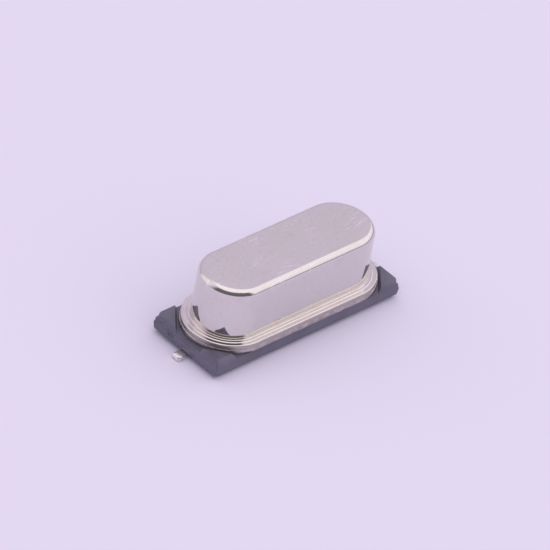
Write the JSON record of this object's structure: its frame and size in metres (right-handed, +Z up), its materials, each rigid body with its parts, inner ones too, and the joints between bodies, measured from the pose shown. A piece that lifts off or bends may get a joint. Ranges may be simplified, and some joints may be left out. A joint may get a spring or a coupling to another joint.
{
  "type": "surface-mount quartz crystal unit",
  "caption": "Quartz crystal in a round-ended welded metal can on a black insulator plate, with a flattened lead turned out at each end for reflow soldering.",
  "frame": {"origin": "on the board plane under the middle of the part", "axes": "+X along the length, towards lead_right; +Y across the width; +Z up from the board"},
  "size_m": [0.0126, 0.0044, 0.004],
  "materials": {
    "moulded_insulator": "moulded, fine matt, glass-filled liquid crystal polymer",
    "plated_header": "stamped steel, bright nickel plate, scuffed at the weld rim",
    "plated_cap": "deep-drawn nickel silver, bright, with faint handling scuffs on the crown",
    "seal_glass": "fused dark green sealing glass",
    "tinned_lead": "iron-nickel-cobalt sealing alloy wire, hot tinned",
    "clip_strip": "thin nickel silver spring strip",
    "quartz": "lapped and etched crystal plate, slightly frosted",
    "silver_film": "vacuum-deposited silver, satin",
    "conductive_adhesive": "cured silver-filled epoxy, dull grey"
  },
  "bodies": {
    "root": {"insulator_base": "moulded_insulator", "header": "plated_header", "cap": "plated_cap", "glass_seal_left": "seal_glass", "glass_seal_right": "seal_glass", "lead_left": "tinned_lead", "lead_right": "tinned_lead", "spring_clip_left": "clip_strip", "spring_clip_right": "clip_strip", "quartz_blank": "quartz", "electrode_top": "silver_film", "electrode_bottom": "silver_film", "adhesive_left": "conductive_adhesive", "adhesive_right": "conductive_adhesive"}
  },
  "joints": []
}
